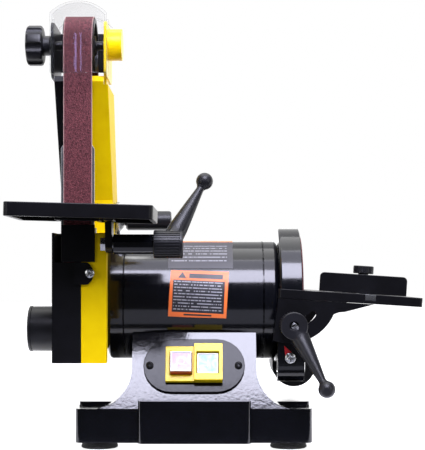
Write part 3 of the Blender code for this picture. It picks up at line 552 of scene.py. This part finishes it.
def switch():
    refined("switch_plate", enamel_plate, 0.6, 3)
    refined("switch_housing", abs_yellow, 0.5, 3)
    # The first colour of each cap is its wall: its own tint with painted shade.
    cap_red = button_cap("button_red_clear_cap", "#b8452a", "#e0cad0", "#b98b95", "#d0a6af")
    cap_green = button_cap("button_green_clear_cap", "#7f9a90", "#b3d3c9", "#6aa395", "#90c0b3")
    clear_rim = finish("clear_cap_rim", "#b9bcbf", "#9ea2a5", 0.2, 2.0, 0.01, coat=1.0)
    for node, cap, top, x in (("stop_button", cap_red, STOP_TOP, STOP_X),
                              ("start_button", cap_green, START_TOP, START_X)):
        refined(node, cap, 0.7, 3)
        half = 9.6
        rim = block(node + "_rim", (2 * half, 2 * half, 0.7), (0, 0, top + 0.25))
        cut_away(rim, block("rim_window", (2 * half - 2.6, 2 * half - 2.6, 3), (0, 0, top)))
        rounded(rim, 0.2)
        settle(rim, panel_turn(), on_panel(x, 0))
        trim(painted(rim, clear_rim), BODY_OF[node])
    mark_white = finish("mark_pale", "#f3e9ec", "#e6dade", 0.3, 1.0, 0.005)
    top = STOP_TOP
    ring = turned("stop_ring_mark", [(3.6, top), (3.6, top + 0.25), (2.9, top + 0.25), (2.9, top)], 40,
                  closed=True)
    settle(ring, panel_turn(), on_panel(STOP_X, 0))
    trim(painted(ring, mark_white), BODY_OF["stop_button"])
    bar = rounded(block("start_bar_mark", (0.9, 6.4, 0.3), (0, 0, START_TOP + 0.1)), 0.1)
    settle(bar, panel_turn(), on_panel(START_X, 0))
    trim(painted(bar, mark_white), BODY_OF["start_button"])
    for number, x in enumerate((-SWITCH_SCREW_X, SWITCH_SCREW_X)):
        phillips(f"switch_plate_screw_{number}", 3.5, panel_turn(), on_panel(x, 0, 3.3), "root",
                 black_oxide)


# ---------------------------------------------------------------- motor

def motor():
    """Shell and two bells turned in one profile each; the pieces inside keep their CAD shape."""
    axis = (0, SHAFT_Y, SHAFT_Z)
    low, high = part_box("motor_shell")
    left, right = low.x / MM, high.x / MM
    r, wall, chamfer = MOTOR_R, 3.0, 0.5
    shell = turned("motor_shell_finished", [(r - wall, left), (r - chamfer, left), (r, left + chamfer),
                                            (r, right - chamfer), (r - chamfer, right), (r - wall, right)],
                   160, closed=True)
    stands_for(painted(settle(shell, X_AXIS, axis), enamel_black), "motor_shell")
    for node, way in (("motor_bell_left", 1), ("motor_bell_right", -1)):
        low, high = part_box(node)
        outer, seam = (low.x / MM, high.x / MM) if way > 0 else (high.x / MM, low.x / MM)
        shoulder = [(p, outer + way * (4.6 - q)) for p, q in curve_points((r - 4.6, 0), 4.6, 90, 0, 8)]
        profile = [(9, outer + way * 0.4), (26, outer + way * 0.4), (27, outer)] + shoulder
        profile += [(r, seam - way * chamfer), (r - chamfer, seam), (r - 4, seam), (r - 4, outer + way * 4.8),
                    (20, outer + way * 4.8), (20, outer + way * 15), (16.3, outer + way * 15),
                    (16.3, outer + way * 6.3), (9, outer + way * 6.3)]
        bell = turned(node + "_finished", profile, 160, closed=True)
        stands_for(painted(settle(bell, X_AXIS, axis), enamel_black), node)
    for node, material in (("bearing_left", ground_steel), ("bearing_right", ground_steel),
                           ("stator_core", ground_steel), ("stator_windings", copper_enamelled),
                           ("rotor_core", turned_aluminium), ("cooling_fan", nylon_black),
                           ("run_capacitor", turned_aluminium), ("rotor_shaft", ground_steel)):
        painted(frame["nodes"][node], material)


def wrapped_label(name, centre_x, centre_angle, half_x, half_y, material, spin=0.0):
    """Thin printed sheet laid on the motor; its angle runs from the top of the motor to the front."""
    middle = math.radians(centre_angle)
    half_angle = half_y / MOTOR_R
    deselect()
    bpy.ops.mesh.primitive_grid_add(x_subdivisions=4, y_subdivisions=28, size=1.0)
    label = bpy.context.object
    label.name = name
    stand_off = MOTOR_R + 12
    settle(label, Matrix.Diagonal((2 * half_x * MM, 2 * stand_off * math.tan(half_angle) * MM, 1, 1)))
    settle(label, Matrix.Rotation(math.radians(spin), 4, "Z"))
    out = Vector((0, -math.sin(middle), math.cos(middle)))
    settle(label, Matrix.Rotation(middle, 4, "X"),
           (centre_x, SHAFT_Y + out.y * stand_off, SHAFT_Z + out.z * stand_off))
    target = rod("wrap_drum", MOTOR_R, -120, 120, 256)
    settle(target, X_AXIS, (0, SHAFT_Y, SHAFT_Z))
    apply_modifier(label, "SHRINKWRAP", target=target, wrap_method="NEAREST_SURFACEPOINT",
                   wrap_mode="ABOVE_SURFACE", offset=LABEL_LIFT * MM)
    bpy.data.objects.remove(target)
    apply_modifier(label, "SOLIDIFY", thickness=LABEL_THICK * MM, offset=-1.0)
    edit(label, outward)
    return trim(painted(smooth(label, 60), material), "root")


def label_ground(name, centre_x, centre_angle, spin):
    """Material with across and down distances, in millimetres, over a label on the motor."""
    material, tree, shader, place = blank(name)
    back = (-centre_x * MM, -SHAFT_Y * MM, -SHAFT_Z * MM)
    moved = put(tree, "Mapping", {"Vector": place, "Location": back})
    axes = put(tree, "SeparateXYZ", {"Vector": moved.outputs["Vector"]})
    front = put(tree, "Math", {0: axes.outputs["Y"], 1: -1.0}, operation="MULTIPLY").outputs["Value"]
    turn = put(tree, "Math", {0: front, 1: axes.outputs["Z"]}, operation="ARCTAN2").outputs["Value"]
    turn = put(tree, "Math", {0: turn, 1: math.radians(centre_angle)}, operation="SUBTRACT").outputs["Value"]
    down = put(tree, "Math", {0: turn, 1: MOTOR_R}, operation="MULTIPLY").outputs["Value"]
    across = put(tree, "Math", {0: axes.outputs["X"], 1: 1 / MM}, operation="MULTIPLY").outputs["Value"]
    flat = put(tree, "CombineXYZ", {"X": across, "Y": down}).outputs["Vector"]
    flat = put(tree, "Mapping", {"Vector": flat, "Rotation": (0, 0, -math.radians(spin))}).outputs["Vector"]
    axes = put(tree, "SeparateXYZ", {"Vector": flat})
    return material, tree, shader, axes.outputs["X"], axes.outputs["Y"]


def inside(tree, value, low, high):
    """1 where a value lies between two limits, with a slightly soft edge, else 0."""
    soft = 0.08
    rise = put(tree, "MapRange", {"Value": value, "From Min": low - soft, "From Max": low + soft})
    fall = put(tree, "MapRange", {"Value": value, "From Min": high + soft, "From Max": high - soft})
    return put(tree, "Math", {0: rise.outputs["Result"], 1: fall.outputs["Result"]},
               operation="MULTIPLY").outputs["Value"]


def both(tree, a, b):
    return put(tree, "Math", {0: a, 1: b}, operation="MULTIPLY").outputs["Value"]


def either(tree, a, b):
    return put(tree, "Math", {0: a, 1: b}, operation="MAXIMUM").outputs["Value"]


def rows_of_marks(tree, across, down, left, right, top, bottom, pitch, height):
    """Rows of short plain bars, broken like printed lines but with no letters."""
    row = put(tree, "Math", {0: put(tree, "Math", {0: down, 1: top}, operation="SUBTRACT").outputs["Value"],
                             1: pitch}, operation="DIVIDE").outputs["Value"]
    number = put(tree, "Math", {0: row}, operation="FLOOR").outputs["Value"]
    part = put(tree, "Math", {0: row}, operation="FRACT").outputs["Value"]
    stripe = inside(tree, put(tree, "Math", {0: part, 1: pitch}, operation="MULTIPLY").outputs["Value"],
                    0.25, 0.25 + height)
    word = put(tree, "CombineXYZ", {"X": across, "Y": put(tree, "Math", {0: number, 1: 7.3},
                                                          operation="MULTIPLY").outputs["Value"]})
    pieces = put(tree, "TexNoise", {"Vector": word.outputs["Vector"], "Scale": 0.75, "Detail": 1.0})
    solid = put(tree, "Math", {0: pieces.outputs["Fac"], 1: 0.43}, operation="GREATER_THAN").outputs["Value"]
    area = both(tree, inside(tree, across, left, right), inside(tree, down, top, bottom))
    return both(tree, both(tree, stripe, solid), area)


def mixed(tree, mask, under, over):
    return put(tree, "Mix", {"Factor": mask, "A": under, "B": over}, data_type="RGBA").outputs["Result"]


def labels():
    """Two plain labels on the motor: an orange-edged one and a dark rating plate. No words."""
    spin, centre_x, centre_angle, half_x, half_y = 2.7, -21.8, 83.0, 27.2, 22.4
    material, tree, shader, across, down = label_ground("label_orange_vinyl", centre_x, centre_angle, spin)
    orange, charcoal, pale = srgb("#f47a38"), srgb("#26262c"), srgb("#a9a9b2")
    field = both(tree, inside(tree, across, -24.2, 24.2), inside(tree, down, -12.3, 18.0))
    marks = rows_of_marks(tree, across, down, -23.2, 22.0, -11.6, 17.4, 2.9, 1.0)
    header = both(tree, inside(tree, across, -9.5, 22.0), inside(tree, down, -19.2, -14.6))
    footer = both(tree, inside(tree, across, -13.0, 13.0), inside(tree, down, 19.4, 21.0))
    off = put(tree, "Math", {0: across, 1: 16.0}, operation="ADD").outputs["Value"]
    off = put(tree, "Math", {0: off}, operation="ABSOLUTE").outputs["Value"]
    flare = put(tree, "Math", {0: down, 1: 20.6}, operation="ADD").outputs["Value"]
    flare = put(tree, "Math", {0: flare, 1: 0.62}, operation="MULTIPLY").outputs["Value"]
    wedge = put(tree, "Math", {0: off, 1: flare}, operation="LESS_THAN").outputs["Value"]
    header = either(tree, header, both(tree, wedge, inside(tree, down, -20.6, -14.4)))
    colour = mixed(tree, field, orange, charcoal)
    colour = mixed(tree, marks, colour, pale)
    colour = mixed(tree, either(tree, header, footer), colour, charcoal)
    tree.links.new(colour, shader.inputs["Base Color"])
    shader.inputs["Roughness"].default_value = 0.38
    wrapped_label("caution_sticker", centre_x, centre_angle, half_x, half_y, material, -spin)

    centre_x, centre_angle, half_x, half_y = -20.0, 29.5, 30.5, 28.5
    material, tree, shader, across, down = label_ground("rating_plate_print", centre_x, centre_angle, 0.0)
    marks = rows_of_marks(tree, across, down, -28.0, 25.0, -5.0, 23.2, 4.7, 1.3)
    strip = inside(tree, down, -29.0, -17.5)
    colour = mixed(tree, strip, srgb("#3a393f"), orange)
    colour = mixed(tree, marks, colour, srgb("#8f8f97"))
    tree.links.new(colour, shader.inputs["Base Color"])
    shader.inputs["Roughness"].default_value = 0.42
    wrapped_label("rating_plate", centre_x, centre_angle, half_x, half_y, material)


# ---------------------------------------------------------------- belt side

def wheel_of(node):
    """Centre (y, z) and radius of a belt wheel, in millimetres."""
    low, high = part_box(node)
    return (low.y + high.y) / 2 / MM, (low.z + high.z) / 2 / MM, (high.z - low.z) / 2 / MM


def run_normal(first, second):
    """Outward normal of the belt run that leaves one wheel for the next."""
    span = Vector((second[0] - first[0], second[1] - first[1]))
    along = span.normalized()
    lean = (first[2] - second[2]) / span.length
    return Vector((along.y, -along.x)) * math.sqrt(1 - lean * lean) + along * lean


def sanding_belt():
    """The belt: one strip drawn round its three wheels by spin and extrude, then given its thickness."""
    low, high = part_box("sanding_belt")
    wheels = [wheel_of(n) for n in ("top_idler_wheel", "lower_idler_wheel", "drive_wheel")]
    normal = run_normal(wheels[2], wheels[0])
    y, z, radius = wheels[0]
    start = Vector((y, z)) + normal * (radius + WHEEL_GAP)
    deselect()
    bpy.ops.mesh.primitive_plane_add(size=1.0)
    belt = bpy.context.object
    belt.name = "sanding_belt_finished"
    hold(belt)
    bpy.ops.object.mode_set(mode="EDIT")
    bpy.ops.mesh.select_all(action="SELECT")
    bpy.ops.mesh.delete(type="ONLY_FACE")
    bpy.ops.object.mode_set(mode="OBJECT")
    for vert in belt.data.vertices:
        vert.co = Vector((low.x if vert.co.x < 0 else high.x, start.x * MM, start.y * MM))
    edit(belt, merge)
    bpy.ops.object.mode_set(mode="EDIT")
    bpy.ops.mesh.select_mode(type="VERT")
    bpy.ops.mesh.select_all(action="SELECT")
    for i, (y, z, radius) in enumerate(wheels):
        into, out = run_normal(wheels[i - 1], wheels[i]), run_normal(wheels[i], wheels[(i + 1) % 3])
        sweep = (math.atan2(out.y, out.x) - math.atan2(into.y, into.x)) % math.tau
        bpy.ops.mesh.spin(steps=36, angle=-sweep, center=(0, y * MM, z * MM), axis=(1, 0, 0),
                          use_auto_merge=False)
        y2, z2, radius2 = wheels[(i + 1) % 3]
        leave = Vector((y, z)) + out * (radius + WHEEL_GAP)
        arrive = Vector((y2, z2)) + out * (radius2 + WHEEL_GAP)
        step = (arrive - leave) * MM
        bpy.ops.mesh.extrude_region_move(TRANSFORM_OT_translate={"value": (0, step.x, step.y)})
    bpy.ops.mesh.select_all(action="SELECT")
    merge(0.02)
    outward()
    bpy.ops.object.mode_set(mode="OBJECT")
    apply_modifier(belt, "SOLIDIFY", thickness=BELT_THICK * MM, offset=1.0)
    centre = (low.x + high.x) / 2 / MM
    grit = abrasive("abrasive_cloth_belt", "#71393f", "#26070c", (centre, BELT_HALF_WIDTH, "#a98a84"))
    stands_for(painted(smooth(belt, 40), grit), "sanding_belt")


def wheels():
    """Crowned wheels with a dished web; the top one is dark."""
    for node in ("drive_wheel", "top_idler_wheel", "lower_idler_wheel"):
        low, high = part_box(node)
        y, z, r = wheel_of(node)
        half = (high.x - low.x) / 2 / MM
        bore = 7.5 if node == "drive_wheel" else 4.3
        hub, web = bore + 4.5, half - 6
        to_crown = [(bore, -half), (hub, -half), (hub, -web), (r - 5, -web), (r - 4.4, -half),
                    (r - 0.9, -half), (r - 0.5, -half + 0.5), (r - 0.12, -5)]
        profile = to_crown + [(r, 0)] + [(radius, -x) for radius, x in reversed(to_crown)]
        wheel = turned(node + "_finished", profile, 96, closed=True)
        settle(wheel, X_AXIS, ((low.x + high.x) / 2 / MM, y, z))
        material = black_oxide if node == "top_idler_wheel" else turned_aluminium
        stands_for(painted(wheel, material), node)


def belt_housing():
    refined("belt_frame", enamel_yellow_sheet, 0.9, 3)
    refined("belt_side_cover", powder_satin, 1.0, 3)
    refined("belt_shield", powder_satin, 0.4)
    refined("platen", ground_steel, 0.4)
    low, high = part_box("cover_screw")
    middle = (low + high) / 2 / MM
    screw = phillips("cover_screw_finished", 4.2, FRONT, (middle.x, high.y / MM, middle.z), "root",
                     zinc_plate)
    stands_for(screw, "cover_screw")
    low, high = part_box("belt_dust_port")
    left, right = low.x / MM, high.x / MM
    outer = (high.y - low.y) / 2 / MM
    profile = [(outer - 2.3, left + 0.6), (outer - 1.7, left), (outer - 0.6, left), (outer, left + 0.6),
               (outer, left + 2.4), (outer - 0.5, left + 2.9), (outer - 0.3, right), (outer - 2.3, right)]
    port = turned("belt_dust_port_finished", profile, 96, closed=True)
    settle(port, X_AXIS, (0, (low.y + high.y) / 2 / MM, (low.z + high.z) / 2 / MM))
    stands_for(painted(port, nylon_black), "belt_dust_port")
    painted(frame["nodes"]["lower_idler_axle"], zinc_plate)


def top_carriage():
    carriage = refined("tension_carriage", enamel_yellow, 0.6, 3)
    carriage.data.materials.append(powder_satin)
    for face in carriage.data.polygons:
        face.material_index = 1 if face.center.x < CARRIAGE_PARTING_X * MM else 0
    refined("carriage_cheek", powder_satin, 0.5)
    refined("top_idler_axle", black_oxide, 0.4)
    hood = refined("belt_hood", polycarbonate, 0.5, 1)
    hood.data.materials.append(polycarbonate_painted_haze)
    hood.data.materials.append(polycarbonate_painted_edge_line)
    # Faces turned away from the front take the painted grey haze; the rounded edges between them take the
    # painted grey line.
    for face in hood.data.polygons:
        ahead = abs(face.normal.y)
        flat, bend, edge = 0, 1, 2
        face.material_index = flat if ahead > 0.97 else edge if ahead > 0.15 else bend
    low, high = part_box("tracking_knob")
    left, right = low.x / MM, high.x / MM
    y, z = (low.y + high.y) / 2 / MM, (low.z + high.z) / 2 / MM
    grip = right - 6.5
    lobes, flute_reach = 7, 20.9
    knob = turned("tracking_knob_finished", [(15.0, left), (17.0, left + 0.8), (18.0, left + 2.6),
                                             (18.0, grip - 2.2), (17.2, grip - 0.6), (15.6, grip),
                                             (9.4, grip), (8.9, grip + 0.6), (8.9, right - 0.5),
                                             (8.4, right), (4.4, right), (4.4, right - 2.6)], 112)
    for i in range(lobes):
        flute = rod("flute_cutter", 5.6, left - 2, grip + 0.2, 40)
        angle = math.tau * (i + 0.5) / lobes
        settle(flute, None, (flute_reach * math.cos(angle), flute_reach * math.sin(angle), 0))
        cut_away(knob, flute)
    rounded(knob, 0.5, 2, 35)
    settle(knob, X_AXIS, (0, y, z))
    stands_for(painted(knob, nylon_black), "tracking_knob")


def tension_side():
    refined("tension_lever", zinc_plate, 0.4)
    refined("lever_pivot_bolt", zinc_plate, 0.4)
    low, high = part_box("tension_grip")
    left, right = low.x / MM, high.x / MM
    r = (high.z - low.z) / 2 / MM
    profile = [(5.0, left), (5.0, left + 1.8), (r - 1.6, left + 1.8), (r, left + 3.6), (r, right - 2.0),
               (r - 0.6, right - 0.6), (r - 2.0, right), (4.4, right), (4.4, right - 1.2)]
    grip = turned("tension_grip_finished", profile, 80)
    settle(grip, X_AXIS, (0, (low.y + high.y) / 2 / MM, (low.z + high.z) / 2 / MM))
    stands_for(painted(grip, nylon_black), "tension_grip")


def belt_table():
    refined("belt_table", powder_satin, 0.9, 3)
    refined("belt_table_hanger", powder_satin, 0.5)
    refined("belt_table_bracket", enamel_black, 0.5)
    refined("belt_table_spindle", zinc_plate, 0.4)
    lean = Matrix.Rotation(-math.atan2(22.0, 55.0), 4, "X")
    clamp_lever("belt_table_lever", BELT_LEVER_FOOT, lean)


# ---------------------------------------------------------------- disc side

def disc_side():
    low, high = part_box("disc_guard")
    left, right = low.x / MM, high.x / MM
    r = (high.z - low.z) / 2 / MM
    corner = [(p, left + 2.4 - q) for p, q in curve_points((r - 2.4, 0), 2.4, 90, 0, 6)]
    profile = [(20, left)] + corner + [(r, right - 0.5), (r - 0.5, right), (r - 2.3, right),
                                       (r - 2.6, right - 0.4), (r - 2.6, left + 2.6), (20, left + 2.6)]
    guard = turned("disc_guard_finished", profile, 160, closed=True)
    settle(guard, X_AXIS, (0, SHAFT_Y, SHAFT_Z))
    cut_away(guard, block("dust_mouth", (13, 24, 19), (64.75, 63, 66.5)))
    stands_for(painted(smooth(guard), enamel_black), "disc_guard")
    low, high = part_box("disc_plate")
    left, right = low.x / MM, high.x / MM
    r = (high.z - low.z) / 2 / MM
    profile = [(r, right), (r, right - 6.4), (r - 0.6, right - 7), (16, right - 7), (15, left), (7.5, left),
               (7.5, right - 1.7), (0.5, right - 1.7), (0.5, right)]
    plate = turned("disc_plate_finished", profile, 160, closed=True)
    stands_for(painted(settle(plate, X_AXIS, (0, SHAFT_Y, SHAFT_Z)), turned_aluminium), "disc_plate")
    low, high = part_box("abrasive_disc")
    grit = abrasive("abrasive_disc_cloth", "#7a4746", "#35141a")
    paper = rod("abrasive_disc_finished", r, low.x / MM, high.x / MM, 160)
    stands_for(painted(settle(paper, X_AXIS, (0, SHAFT_Y, SHAFT_Z)), grit), "abrasive_disc")
    refined("disc_dust_port", nylon_black, 0.4)
    refined("disc_table_bracket_front", enamel_black, 0.5, 3)
    refined("disc_table_bracket_rear", enamel_black, 0.5)
    refined("angle_pointer", paint_red, 0.15)
    refined("table_clamp_stud", zinc_plate, 0.3)
    low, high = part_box("angle_pointer")
    phillips("pointer_screw", 5.0, FRONT, (62.35, low.y / MM, 84.2), "root", zinc_plate)
    lean = Matrix.Rotation(math.pi - math.atan2(26.6, 53.5), 4, "Y")
    foot_x, foot_y, foot_z = DISC_LEVER_FOOT
    clamp_lever("disc_table_lever", DISC_LEVER_FOOT, lean @ Matrix.Rotation(math.radians(-90), 4, "Z"))
    phillips("disc_lever_screw", 3.1, FRONT, (foot_x, foot_y + 2.7, foot_z), "disc_table_lever",
             zinc_plate, length=0.6, dome=0.8)


def disc_table():
    refined("disc_table", powder_satin, 0.6, 3)
    refined("disc_table_trunnions", powder_satin, 0.4)
    refined("miter_bar", ground_steel, 0.3)
    refined("miter_head", powder_satin, 0.5, 3)
    low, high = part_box("miter_knob")
    tilt = Matrix.Rotation(math.radians(DISC_DROOP), 4, "Y")
    knob = ribbed_drum("miter_knob_finished", 9.8, 19.2, 26.7, 28, 0.5)
    stem = turned("miter_knob_stem", [(2.5, 19.4), (2.5, 3.8), (5.0, 3.8), (5.0, 19.4)], 40, closed=True)
    cut_away(knob, stem, operation="UNION")
    middle = (low + high) / 2 / MM
    settle(knob, None, (0, 0, -15.25))
    settle(knob, tilt, (middle.x, middle.y, middle.z))
    stands_for(painted(smooth(knob, 25), nylon_black), "miter_knob")


# ---------------------------------------------------------------- studio

def studio():
    """Pale floor, soft boxes in front, overhead and at the sides, and a bright backdrop behind."""
    scene = bpy.context.scene
    scene.view_settings.view_transform = "Standard"
    deselect()
    bpy.ops.mesh.primitive_plane_add(size=1.0)
    floor = bpy.context.object
    floor.name = "studio_floor"
    settle(floor, Matrix.Diagonal((6.0, 6.0, 1.0, 1.0)), (0, 2925.0, -0.5))
    pale = bpy.data.materials.new("paper_sweep")
    pale.use_nodes = True
    shader = pale.node_tree.nodes["Principled BSDF"]
    shader.inputs["Base Color"].default_value = srgb("#f4f4f6")
    shader.inputs["Roughness"].default_value = 0.9
    shader.inputs["Emission Color"].default_value = (1, 1, 1, 1)
    place = put(pale.node_tree, "TexCoord").outputs["Object"]
    depth = put(pale.node_tree, "SeparateXYZ", {"Vector": place}).outputs["Y"]
    glow = put(pale.node_tree, "MapRange", {"Value": depth, "From Min": -0.06, "From Max": -0.04,
                                            "To Min": 0.1, "To Max": 0.85})
    pale.node_tree.links.new(glow.outputs["Result"], shader.inputs["Emission Strength"])
    painted(floor, pale)

    world = bpy.data.worlds.new("studio")
    scene.world = world
    world.use_nodes = True
    tree = world.node_tree
    ground = tree.nodes["Background"]
    way = put(tree, "SeparateXYZ", {"Vector": put(tree, "TexCoord").outputs["Generated"]})
    behind = put(tree, "MapRange", {"Value": way.outputs["Y"], "From Min": 0.05, "From Max": 0.5})
    low = put(tree, "MapRange", {"Value": way.outputs["Z"], "From Min": 0.42, "From Max": 0.22,
                                 "To Min": 0.45, "To Max": 1.0})
    sweep = put(tree, "Math", {0: behind.outputs["Result"], 1: low.outputs["Result"]}, operation="MULTIPLY")
    lit = put(tree, "MapRange", {"Value": sweep.outputs["Value"], "To Min": 0.05, "To Max": 1.8})
    seen = put(tree, "LightPath")
    through = put(tree, "Math", {0: seen.outputs["Is Transmission Ray"], 1: behind.outputs["Result"]},
                  operation="MULTIPLY")
    direct = put(tree, "Math", {0: seen.outputs["Is Camera Ray"], 1: through.outputs["Value"]},
                 operation="MAXIMUM")
    level = put(tree, "Mix", {"Factor": direct.outputs["Value"], "A": lit.outputs["Result"], "B": 1.0})
    tree.links.new(level.outputs["Result"], ground.inputs["Strength"])
    ground.inputs["Color"].default_value = (1, 1, 1, 1)

    def soft_box(name, place, aim, size, watts, colour):
        data = bpy.data.lights.new(name, "AREA")
        data.shape = "RECTANGLE"
        data.size, data.size_y = size
        data.energy = watts
        data.color = srgb(colour)[:3]
        box = bpy.data.objects.new(name, data)
        scene.collection.objects.link(box)
        box.location = place
        box.rotation_euler = (Vector(aim) - Vector(place)).to_track_quat("-Z", "Y").to_euler()
        box.visible_camera = False
        return box

    soft_box("key_soft_box", (0.05, -0.67, 0.90), (0, 0.0, 0.15), (0.62, 0.46), 16.5, "#e9e9ff")
    soft_box("upper_soft_box", (0.03, -0.30, 1.15), (0, 0.0, 0.15), (1.2, 0.45), 6.0, "#eeeeff")
    soft_box("top_soft_box", (0.0, 0.25, 1.30), (0, 0.05, 0.14), (1.6, 0.8), 9.0, "#ffffff")
    soft_box("left_soft_box", (-1.1, -0.85, 0.45), (0, 0.0, 0.2), (0.4, 0.8), 3.0, "#ffffff")
    soft_box("right_soft_box", (1.1, -0.85, 0.45), (0, 0.0, 0.2), (0.4, 0.8), 3.0, "#ffffff")
    soft_box("hood_glow", (-0.126, 0.02, 0.66), (-0.126, -0.04, 0.39), (0.06, 0.06), 0.1, "#ffffff")
    soft_box("low_card", (-0.02, -0.16, 0.05), (-0.02, -0.161, 1.0), (0.35, 0.19), 0.16, "#e6e8ff")
    # The flat front of the hood mirrors two thin lamps above the camera as two pale lines.
    for number, (x, width, watts) in enumerate(((-0.248, 0.003, 0.0026), (-0.239, 0.0018, 0.0018))):
        soft_box(f"strip_lamp_{number}", (x, CAMERA_PLACE[1], 0.549), (x, 0.0, 0.549), (width, 0.066), watts,
                 "#a9adf0")

    data = bpy.data.cameras.new("product_camera")
    data.lens = 98.1
    data.sensor_width = 36.0
    data.shift_y = 0.111
    camera = bpy.data.objects.new("product_camera", data)
    scene.collection.objects.link(camera)
    camera.location = CAMERA_PLACE
    camera.rotation_euler = (math.radians(90), 0, 0)
    scene.camera = camera


studio()
base()
switch()
motor()
labels()
sanding_belt()
wheels()
belt_housing()
top_carriage()
tension_side()
belt_table()
disc_side()
disc_table()
